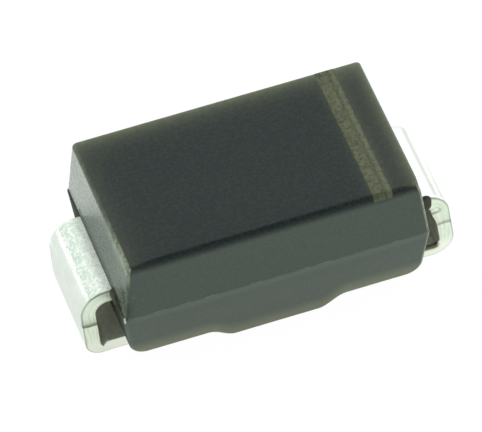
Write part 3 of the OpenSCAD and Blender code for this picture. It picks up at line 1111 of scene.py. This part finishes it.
def mark_strip(points, across, through, lead, shoulder, heel):
    """Adds the marks of making to a strip formed along +X."""
    x, y, z = points.T
    # Inside the body the strip has the width of its pad
    inner = 1 - smooth_step(x, chip_half + JOGGLE_GAP, chip_half + JOGGLE_GAP + lead_thickness)
    y = y * (1 + inner * (lead["pad_width"] / lead_width - 1))
    at_edge = smooth_step(np.abs(across), lead_width / 2 - 2 * ROLL_RADIUS, lead_width / 2 - ROLL_RADIUS)
    outside = smooth_step(x, shoulder[0], shoulder[0] + lead_thickness)
    nick_line = lead["nick_height"] + NICK_HALF / 2 * ripple(points, waves=9, seed=4)
    below = 1 - smooth_step(z, nick_line - NICK_HALF / 2, nick_line)
    nick = np.clip(1 - np.abs(z - nick_line) / NICK_HALF, 0, 1) * NICK_DEPTH
    strip_middle = shoulder[0] + SHOULDER_RADIUS + lead_thickness / 8
    from_dent = np.hypot(x - strip_middle, z - DENT_HEIGHT) / DENT_RADIUS
    dent = lead["dent_depth"] * np.exp(-from_dent ** 6)
    y = y + np.sign(y) * at_edge * outside * (PROUD * below - nick - dent)
    # The press that left the dent pushed a burr into the fold
    burr = np.exp(-((z - DENT_HEIGHT + BURR_DROP) / BURR_HALF) ** 2)
    burr *= smooth_step(through, 0, lead_thickness / 2)
    x = x - lead["burr"] * at_edge * outside * burr
    # The score is a notch straight down from the inside of the fold
    notch = np.clip(1 - np.abs(x - heel[0] + SCORE_SHIFT) / SCORE_HALF, 0, 1) * (z < heel[1] + SCORE_HALF)
    z = z - lead["score_depth"] * notch * smooth_step(through, 0, lead_thickness / 2)
    # Stains and painted shade
    over_nick = np.maximum(z - nick_line, 0)
    # Painted shade that fades upwards from the nick
    smear = lead["smear"] * np.exp(-over_nick / NICK_SHADE_HEIGHT) * (z > nick_line - NICK_HALF) * outside
    in_fold = smooth_step(through, 0, POOL_RUN) * (z < lead_thickness + POOL_HEIGHT)
    in_fold *= 1 - smooth_step(x - heel[0], *POOL_PAST_HEEL)
    pool = lead["pool"] * in_fold * (x > half_length - POOL_UNDER_BODY)
    # Painted shade on the cathode lead: a grey line across the bend and a grey back edge
    rubbed = (1 - at_edge) * np.exp(-((x - GREY_SHADE_PLACE) / GREY_SHADE_WIDTH) ** 4)
    rub = lead["rub"] * np.maximum(GREY_SHADE_SHARE * rubbed, BACK_EDGE_SHADE_SHARE * at_edge * (y > 0))
    rub *= (through < 0) * (z > lead_top - GREY_SHADE_DROP)
    ring = lead["rub"] * np.exp(-((from_dent - 1) / RING_WIDTH) ** 2) * (z < DENT_HEIGHT + RING_OVER_DENT)
    stain = np.maximum(at_edge * np.maximum(np.maximum(smear, ring), pool), rub)
    return np.stack([x, y, z], 1), stain


for name, lead in leads.items():
    print(name, "lead is nicked at", lead["nick_height"], "mm over the board")

# %% [markdown]
# The lead frame sat a hair towards the back of the mould, so both strips are shifted that way. The
# plating is nowhere quite flat: once a strip is closed, its points move a little along their
# normals, by long waves and by fine grain.

# %% Sweep both leads
LEAD_STEP = 0.0125
LEAD_SHIFT = 0.02
PLATE_WAVES = 0.0022
PLATE_GRAIN = 0.001
SHAPE_KEYS = ("reach", "lean", "heel_radius", "pad_end", "pad_middle")


def attribute(mesh, name):
    """A number that each point of a mesh carries."""
    values = np.empty(len(mesh.vertices), np.float32)
    mesh.attributes[name].data.foreach_get("value", values)
    return values.astype(float)


for seed, (name, lead) in enumerate(leads.items()):
    corners, bends, shoulder, heel = lead_corners(**{key: lead[key] for key in SHAPE_KEYS})
    mesh = lead_tree.run(
        guide_line(name + "_guide", corners, bend=bends), name + "_strip",
        Section=section_guide, Step=LEAD_STEP, Material=tin,
    )
    across, through = attribute(mesh, "across"), attribute(mesh, "through")
    points, stain = mark_strip(read_points(mesh), across, through, lead, shoulder, heel)
    write_points(mesh, points * (lead["way"], 1, 1) + (0, LEAD_SHIFT, 0))
    paint(mesh, "stain", stain)
    close_mesh(mesh)
    points = read_points(mesh)
    relief = PLATE_WAVES * ripple(points, waves=5, seed=seed)
    relief += PLATE_GRAIN * ripple(points, waves=20, seed=seed)
    write_points(mesh, points + relief[:, None] * read_points(mesh, "normal"))
    paint(mesh, "grainy", np.full(len(points), lead["grainy"]))
    piece = finish_piece(name + "_strip", mesh)
    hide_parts(name + "_lead")
bpy.data.objects.remove(section_guide)

# %% [markdown]
# ## Resin beside the leads
#
# Resin creeps along the strip's cut edges as far as the dam that stops it, and stays there as
# small tabs when the dam is cut away. A tab is a box with rounded edges: every point of a finely
# divided cube is brought to the nearest point of a smaller box, then out by the radius. The flake
# of flash that hangs at the broken corner is made the same way, and painted near white as a glint.

# %% Finish and form of a tab
TAB_STEPS = 14
TAB_ROUGHNESS = 0.008


def make_tab():
    finish = Finish("dam_resin")
    grain = finish.noise(20.0, 3.0)
    colour = finish.blend(finish.span(grain, 0.35, 0.65), linear(46, 47, 37), linear(72, 71, 56))
    finish.link(colour, finish.shader.inputs["Base Color"])
    finish.link(finish.span(grain, 0.3, 0.7, 0.5, 0.7), finish.shader.inputs["Roughness"])
    finish.shader.inputs["IOR"].default_value = 1.45
    finish.bump(grain, 0.003)
    return finish.material


def rounded_box(low, high, radii):
    """Points and faces of a box with rounded edges. Each axis has its own radius."""
    low, high, radii = np.array(low), np.array(high), np.array(radii)
    work = bmesh.new()
    bmesh.ops.create_cube(work, size=2.0)
    bmesh.ops.subdivide_edges(work, edges=work.edges, cuts=TAB_STEPS, use_grid_fill=True)
    cube = np.array([vertex.co for vertex in work.verts])
    faces = [[vertex.index for vertex in face.verts] for face in work.faces]
    work.free()
    half = (high - low) / 2
    wide = cube * half
    core = np.clip(wide, radii - half, half - radii)
    out = (wide - core) / radii
    return (low + high) / 2 + core + radii * out / np.linalg.norm(out, axis=1)[:, None], faces


def resin_tab(name, low, high, radii, seed, material):
    """A rounded, slightly rough piece of resin between two corners, in millimetres."""
    points, faces = rounded_box(low, high, radii)
    mesh = mesh_in_mm(name, points, faces)
    close_mesh(mesh)
    points = read_points(mesh)
    relief = TAB_ROUGHNESS * ripple(points, waves=12, seed=seed)
    write_points(mesh, points + relief[:, None] * read_points(mesh, "normal"))
    finish_piece(name, mesh, material)


dam_resin = make_tab()
print("finish:", dam_resin.name)

# %% The resin tabs and the flake
TAB_INSIDE = 0.06

edge_y = LEAD_SHIFT - lead_width / 2
strip_base = lead_top - lead_thickness
# At the cathode the tab is a knob that stands out beside the strip
resin_tab(
    "cathode_resin_tab", low=(half_length - TAB_INSIDE, edge_y - 0.055, strip_base - 0.03),
    high=(half_length + 0.21, edge_y + 0.025, lead_top + 0.07), radii=(0.1, 0.039, 0.12),
    seed=7, material=dam_resin,
)
# At the anode it is a thin web on the end wall, in front of the strip
resin_tab(
    "anode_resin_tab", low=(-half_length - 0.025, edge_y - 0.2, strip_base + 0.09),
    high=(TAB_INSIDE - half_length, edge_y + 0.01, lead_top + 0.05), radii=(0.03, 0.04, 0.04),
    seed=8, material=dam_resin,
)
# The flake is narrow, and painted near white as a painted glint of the corner
resin_tab(
    "flash_flake", low=(-half_length - 0.004, -half_width + 0.002, parting_height - 0.075),
    high=(-half_length + 0.02, -half_width + 0.03, parting_height + 0.045), radii=(0.01, 0.012, 0.05),
    seed=9, material=make_flash("glint_flake_resin", linear(205, 212, 202), linear(240, 244, 238)),
)

# %% [markdown]
# ## The polarity band
#
# A laser bleaches the resin along the band in close parallel passes, which leaves an olive, matt
# layer with faint lines in it and ragged sides. The layer is a thin sheet that follows the top
# and bends over its rounded edges. The passes repeat, so Geometry Nodes lay copies of one swept
# line side by side, and each copy carries a random tone that the finish reads.

# %% The marked resin's finish
DIM_PASS = 0.56
PALE_PASS = 0.77


def make_mark():
    finish = Finish("laser_marked_resin")
    tone = finish.attribute("line_tone")
    blotch = finish.noise(14.0, 3.0, 0.6)
    fine = finish.noise(30.0, 2.0)
    ground = finish.blend(finish.span(blotch, 0.32, 0.7), linear(78, 82, 57), linear(100, 104, 77))
    lined = finish.blend(finish.math("MULTIPLY", tone, 0.5), ground, linear(108, 111, 84))
    # One of the later passes ran dim, and the one after it burnt palest
    share = finish.math("DIVIDE", finish.math("SUBTRACT", finish.along("X"), band_low.x), band_width)
    off_pale = finish.math("ABSOLUTE", finish.math("SUBTRACT", share, PALE_PASS))
    pale = finish.math("MULTIPLY", finish.span(off_pale, 0.12, 0.03), finish.span(fine, 0.35, 0.6))
    paled = finish.blend(finish.math("MULTIPLY", pale, 0.35), lined, linear(138, 142, 116))
    off_dim = finish.math("ABSOLUTE", finish.math("SUBTRACT", share, DIM_PASS))
    dim = finish.math("MULTIPLY", finish.span(off_dim, 0.1, 0.03), finish.span(blotch, 0.4, 0.6))
    dimmed = finish.blend(finish.math("MULTIPLY", dim, 0.55), paled, linear(48, 54, 36))
    colour = finish.blend(finish.span(fine, 0.52, 0.72), dimmed, linear(58, 63, 44))
    finish.link(colour, finish.shader.inputs["Base Color"])
    finish.link(finish.span(fine, 0.3, 0.7, 0.5, 0.7), finish.shader.inputs["Roughness"])
    finish.bump(fine, 0.003)
    return finish.material


mark = make_mark()
print("finish:", mark.name, f"on a band {band_width:.3f} mm wide")

# %% The marked layer
MARK_LIFT = 0.0025
MARK_DEPTH = 0.02
MARK_RAGGED = 0.009
MARK_COLUMNS = 10
MARK_CUT = 2
MARK_SHIFT = -0.024


def band_path(lift):
    """The body's top at the band as (y, z): up over the front edge, across, and down the back edge."""
    over = np.abs(right[:counts["top"], 0] - band_middle).argmin()
    path_yz = belt[over, MARK_CUT:-MARK_CUT, 1:]
    ahead_yz = np.gradient(path_yz, axis=0)
    up = np.stack([-ahead_yz[:, 1], ahead_yz[:, 0]], 1)
    return path_yz + lift * up / np.linalg.norm(up, axis=1)[:, None]


def band_sheet(lift, sheet_x):
    """The band's grid of points at a height over the top."""
    yz = band_path(lift)
    return np.stack([sheet_x, *np.broadcast_to(yz.T[:, None], (2, *sheet_x.shape))], -1)


path_yz = band_path(MARK_LIFT)
rows = len(path_yz)
columns = np.linspace(band_low.x, band_high.x, MARK_COLUMNS + 1) + MARK_SHIFT
ragged = MARK_RAGGED * np.stack([
    ripple(np.column_stack([np.full(rows, 9.0), path_yz]), waves=16, seed=side) for side in (11, 12)
], 1)
lean_out = np.linspace(1, 0, MARK_COLUMNS + 1)[:, None]
sheet_x = columns[:, None] + lean_out ** 4 * ragged[:, 0] + (1 - lean_out) ** 4 * ragged[:, 1]
sheets = [band_sheet(lift, sheet_x).reshape(-1, 3) for lift in (MARK_LIFT, -MARK_DEPTH)]
ids = np.arange(sheet_x.size).reshape(sheet_x.shape)
under = ids + ids.size
rim = np.concatenate([ids[:-1, 0], ids[-1, :-1], ids[:0:-1, -1], ids[0, :0:-1]])
rim_ring = np.stack([np.append(rim, rim[0]), np.append(rim, rim[0]) + ids.size])
mark_mesh = mesh_in_mm(
    "marked_layer", np.concatenate(sheets), quads(ids) + quads(under[:, ::-1]) + quads(rim_ring),
)
close_mesh(mark_mesh)
layer = finish_piece("marked_layer", mark_mesh, mark)
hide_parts("polarity_band")

# %% The laser's passes
PASS_COUNT = 7
PASS_WIDTH = 0.024
PASS_FLATNESS = 0.2

pass_tree = Tree(
    "laser_passes", Count="Int", Width="Float", Flatness="Vector", Spread="Vector", Seed="Int",
    Material="Material",
)
given = pass_tree.given
path = pass_tree.node("GeometryNodeMeshToCurve", {"Mesh": given["Guide"]})
ring = pass_tree.node("GeometryNodeCurvePrimitiveCircle", {"Resolution": 8, "Radius": given["Width"]})
flat_ring = pass_tree.node("GeometryNodeTransform", {"Geometry": ring.outputs[0], "Scale": given["Flatness"]})
one_pass = pass_tree.node("GeometryNodeCurveToMesh", {
    "Curve": path.outputs[0], "Profile Curve": flat_ring.outputs[0], "Fill Caps": True,
})
side_by_side = pass_tree.node("GeometryNodeMeshLine", {"Count": given["Count"], "Offset": given["Spread"]})
copies = pass_tree.node("GeometryNodeInstanceOnPoints", {
    "Points": side_by_side.outputs[0], "Instance": one_pass.outputs[0],
})
tone = pass_tree.node("FunctionNodeRandomValue", {"Seed": given["Seed"]}, data_type="FLOAT")
toned = pass_tree.node("GeometryNodeStoreNamedAttribute", {
    "Geometry": copies.outputs[0], "Name": "line_tone", "Value": in_use(tone.outputs, "Value"),
}, data_type="FLOAT", domain="INSTANCE")
pass_tree.end(toned.outputs[0])

pitch = band_width / PASS_COUNT
pass_path = band_path(0.0)
first_x = band_low.x + MARK_SHIFT + pitch / 2
first_pass = np.column_stack([np.full(len(pass_path), first_x), pass_path])
pass_mesh = pass_tree.run(
    guide_line("pass_guide", first_pass), "laser_passes",
    Count=PASS_COUNT, Width=PASS_WIDTH / 2, Flatness=(1.0, PASS_FLATNESS, 1.0), Spread=(pitch, 0.0, 0.0),
    Seed=4, Material=mark,
)
close_mesh(pass_mesh)
finish_piece("laser_passes", pass_mesh)

# %% [markdown]
# ## What lies inside
#
# The chip and its solder are sealed in the resin. Their CAD solids already have the right form, so
# they stay, and only get finishes of their own: lapped silicon with fine scratches, and dull
# solder with a grainy skin.

# %% Finishes of the chip and the solder
def make_silicon():
    finish = Finish("lapped_silicon")
    scratch = finish.noise(60.0, 4.0, 0.7)
    colour = finish.blend(finish.span(scratch, 0.35, 0.7), linear(84, 92, 104), linear(112, 120, 132))
    finish.link(colour, finish.shader.inputs["Base Color"])
    finish.link(finish.span(scratch, 0.3, 0.7, 0.25, 0.4), finish.shader.inputs["Roughness"])
    finish.shader.inputs["Metallic"].default_value = 0.6
    finish.bump(scratch, 0.001)
    return finish.material


def make_solder():
    finish = Finish("dull_solder")
    grain = finish.noise(30.0, 3.0, 0.6)
    colour = finish.blend(finish.span(grain, 0.35, 0.7), linear(160, 164, 166), linear(190, 192, 192))
    finish.link(colour, finish.shader.inputs["Base Color"])
    finish.link(finish.span(grain, 0.3, 0.7, 0.35, 0.5), finish.shader.inputs["Roughness"])
    finish.shader.inputs["Metallic"].default_value = 1.0
    finish.bump(grain, 0.002)
    return finish.material


silicon, solder = make_silicon(), make_solder()
for node, material in (("thyristor_chip", silicon), ("anode_solder", solder), ("cathode_solder", solder)):
    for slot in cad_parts[node].material_slots:
        slot.material = material
    print(node, "is finished as", material.name)

# %% [markdown]
# ## Floor, light and camera
#
# The part lies in a white light tent: a pale floor that runs into a pale background, soft light
# from all round, brightest from behind, a small lamp behind on the left, and a dark patch on the
# camera's own side, which is what the rounded front edges mirror. The floor is diffuse for the
# light that it gives to the part, and is shown to the camera and in reflections mostly as plain
# white, so that the part's shadow stays but is faint.

# %% The floor
FLOOR_SIZE = 4.0
FLOOR_DROP = 2e-6

floor_mesh = bpy.data.meshes.new("studio_floor")
reach = FLOOR_SIZE / 2
floor_corners = [(-reach, -reach, 0), (reach, -reach, 0), (reach, reach, 0), (-reach, reach, 0)]
floor_mesh.from_pydata(floor_corners, [], [(0, 1, 2, 3)])
floor_mesh.transform(Matrix.Translation((0, 0, -FLOOR_DROP)))
floor = add_object("studio_floor", floor_mesh)
print("floor", FLOOR_SIZE, "m wide,", FLOOR_DROP / MM, "mm under the feet")

# %% [markdown]
# In reflections the floor isn't evenly bright. It is brighter in front, brightest behind the part,
# where the anode's end wall mirrors it, and fades to the right, where the cathode lead mirrors it.
# The places are in millimetres from the middle of the part, as (from, to).

# %% The floor's paint
FLOOR_COLOUR = (0.86, 0.88, 0.86, 1)
FLOOR_SEEN_SHARE = 0.94
FLOOR_SEEN_LEVEL = 1.04
FLOOR_MIRRORED_SHARE = 0.65
FLOOR_FRONT_LEVEL = 1.5
FLOOR_SIDE_LEVEL = 1.0
FLOOR_SIDE_WAY, FLOOR_SIDE_RUN = (-0.5, 0.85, 0), (-0.3, 1.4)
FLOOR_LIT_LEVEL = 2.8
FLOOR_LIT_Y, FLOOR_LIT_X = (1.4, 2.2), (-3.8, -3.2)
FLOOR_RIGHT_SHARE, FLOOR_RIGHT_X = 0.7, (2.8, 4.5)
TENT_TINT = (0.94, 1.0, 0.95)

floor_paint = Finish("floor_paint")
floor_paint.tree.nodes.remove(floor_paint.shader)
rays = floor_paint.node("ShaderNodeLightPath")
matt = floor_paint.node("ShaderNodeBsdfDiffuse")
matt.inputs["Color"].default_value = FLOOR_COLOUR
seen = floor_paint.node("ShaderNodeEmission")
seen.inputs["Strength"].default_value = FLOOR_SEEN_LEVEL
mirrored = floor_paint.node("ShaderNodeEmission")
mirrored.inputs["Color"].default_value = (*TENT_TINT, 1)
sideways = floor_paint.node("ShaderNodeVectorMath", operation="DOT_PRODUCT")
sideways.inputs[1].default_value = FLOOR_SIDE_WAY
floor_paint.link(floor_paint.place.outputs[0], sideways.inputs[0])
to_side = floor_paint.span(
    sideways.outputs["Value"], *FLOOR_SIDE_RUN, FLOOR_FRONT_LEVEL, FLOOR_SIDE_LEVEL,
)
lit_ahead = floor_paint.span(floor_paint.along("Y"), *FLOOR_LIT_Y, 0.0, FLOOR_LIT_LEVEL - FLOOR_SIDE_LEVEL)
lit = floor_paint.math("MULTIPLY", lit_ahead, floor_paint.span(floor_paint.along("X"), *FLOOR_LIT_X))
far_right = floor_paint.span(floor_paint.along("X"), *FLOOR_RIGHT_X, 1.0, FLOOR_RIGHT_SHARE)
level = floor_paint.math("MULTIPLY", floor_paint.math("ADD", to_side, lit), far_right)
floor_paint.link(level, mirrored.inputs["Strength"])
surface = matt.outputs[0]
for ray, share, light in (
    ("Is Camera Ray", FLOOR_SEEN_SHARE, seen), ("Is Glossy Ray", FLOOR_MIRRORED_SHARE, mirrored),
):
    mixed = floor_paint.node("ShaderNodeMixShader")
    floor_paint.link(floor_paint.math("MULTIPLY", rays.outputs[ray], share), mixed.inputs[0])
    floor_paint.link(surface, mixed.inputs[1])
    floor_paint.link(light.outputs[0], mixed.inputs[2])
    surface = mixed.outputs[0]
floor_paint.link(surface, floor_paint.tree.nodes["Material Output"].inputs["Surface"])
floor_mesh.materials.append(floor_paint.material)
print("finish:", floor_paint.material.name)

# %% [markdown]
# The camera looks down on the part from the front left, from far away through a long lens, so that
# the body's edges run almost parallel.

# %% The camera
AIM = Vector((-0.12263, -0.07293, 1.23)) * MM
CAMERA_AZIMUTH = math.radians(16.8164)
CAMERA_ELEVATION = math.radians(49.7055)
CAMERA_ROLL = math.radians(-3.2848)
CAMERA_DISTANCE = 80.6 * MM
FOCAL_PIXELS = 6000
PHOTO_WIDTH = 482
SENSOR_WIDTH = 36.0
NEAREST, FARTHEST = 0.005, 20.0

towards_camera = Vector((
    -math.sin(CAMERA_AZIMUTH) * math.cos(CAMERA_ELEVATION),
    -math.cos(CAMERA_AZIMUTH) * math.cos(CAMERA_ELEVATION),
    math.sin(CAMERA_ELEVATION),
))
lens = bpy.data.cameras.new("product_camera")
lens.sensor_fit = "HORIZONTAL"
lens.sensor_width = SENSOR_WIDTH
lens.lens = FOCAL_PIXELS / PHOTO_WIDTH * SENSOR_WIDTH
lens.clip_start = NEAREST
lens.clip_end = FARTHEST
camera = bpy.data.objects.new("product_camera", lens)
bpy.context.scene.collection.objects.link(camera)
level = (-towards_camera).to_track_quat("-Z", "Y").to_matrix().to_4x4()
placed = Matrix.Translation(AIM + towards_camera * CAMERA_DISTANCE)
camera.matrix_world = placed @ level @ Matrix.Rotation(CAMERA_ROLL, 4, "Z")
bpy.context.scene.camera = camera
print("camera at", [round(v / MM, 2) for v in camera.matrix_world.translation], "mm")

# %% [markdown]
# The tent's brightness depends on the way a ray goes. It is worked out from two products: with
# the way to the tent's back, which the top and the leads mirror, and with the way to the camera,
# where the tent is open and dark.

# %% The tent
BACK_WAY, BACK_RUN = (0.187, 0.619, 0.763), (0.0, 0.95)
BACK_LEVEL = 1.3
SIDE_LEVEL = 0.85
CAMERA_SIDE_RUN = (0.4, 0.95)
CAMERA_SIDE_LEVEL = 0.38

world = bpy.data.worlds.new("light_tent")
world.use_nodes = True
bpy.context.scene.world = world
sky = world.node_tree.nodes
sky["Background"].inputs["Color"].default_value = (*TENT_TINT, 1)
ray_way = sky.new("ShaderNodeTexCoord").outputs["Generated"]
levels = []
for way, start, end, low, high in (
    (BACK_WAY, *BACK_RUN, SIDE_LEVEL, BACK_LEVEL),
    (towards_camera, *CAMERA_SIDE_RUN, 1.0, CAMERA_SIDE_LEVEL),
):
    facing = sky.new("ShaderNodeVectorMath")
    facing.operation = "DOT_PRODUCT"
    facing.inputs[1].default_value = way
    world.node_tree.links.new(ray_way, facing.inputs[0])
    shade = sky.new("ShaderNodeMapRange")
    shade.interpolation_type = "SMOOTHSTEP"
    for key, number in (("From Min", start), ("From Max", end), ("To Min", low), ("To Max", high)):
        shade.inputs[key].default_value = number
    world.node_tree.links.new(facing.outputs["Value"], shade.inputs["Value"])
    levels.append(shade.outputs["Result"])
product = sky.new("ShaderNodeMath")
product.operation = "MULTIPLY"
for source, target in zip(levels, product.inputs):
    world.node_tree.links.new(source, target)
world.node_tree.links.new(product.outputs[0], sky["Background"].inputs["Strength"])
bpy.context.scene.view_settings.view_transform = "Standard"
print("tent from", CAMERA_SIDE_LEVEL, "of its light near the camera to a level of", BACK_LEVEL, "at the back")

# %% [markdown]
# One small square lamp behind on the left grazes the walls there. The power of a lamp is worked
# out from how bright it should look: a radiance of 1 is plain white.

# %% The lamp
PANEL_WAY = Vector((-0.76, 0.62, 0.2)).normalized()
PANEL_DISTANCE = 0.3
PANEL_SIZE = 0.06
PANEL_RADIANCE = 0.6

panel = bpy.data.lights.new("back_left_panel", "AREA")
panel.shape = "SQUARE"
panel.size = PANEL_SIZE
panel.energy = PANEL_RADIANCE * math.pi * PANEL_SIZE ** 2
lamp = bpy.data.objects.new("back_left_panel", panel)
bpy.context.scene.collection.objects.link(lamp)
lamp.location = PANEL_WAY * PANEL_DISTANCE
lamp.rotation_euler = PANEL_WAY.to_track_quat("Z", "Y").to_euler()
print("lamp of", round(panel.energy, 5), "W at", PANEL_DISTANCE, "m")

# %% [markdown]
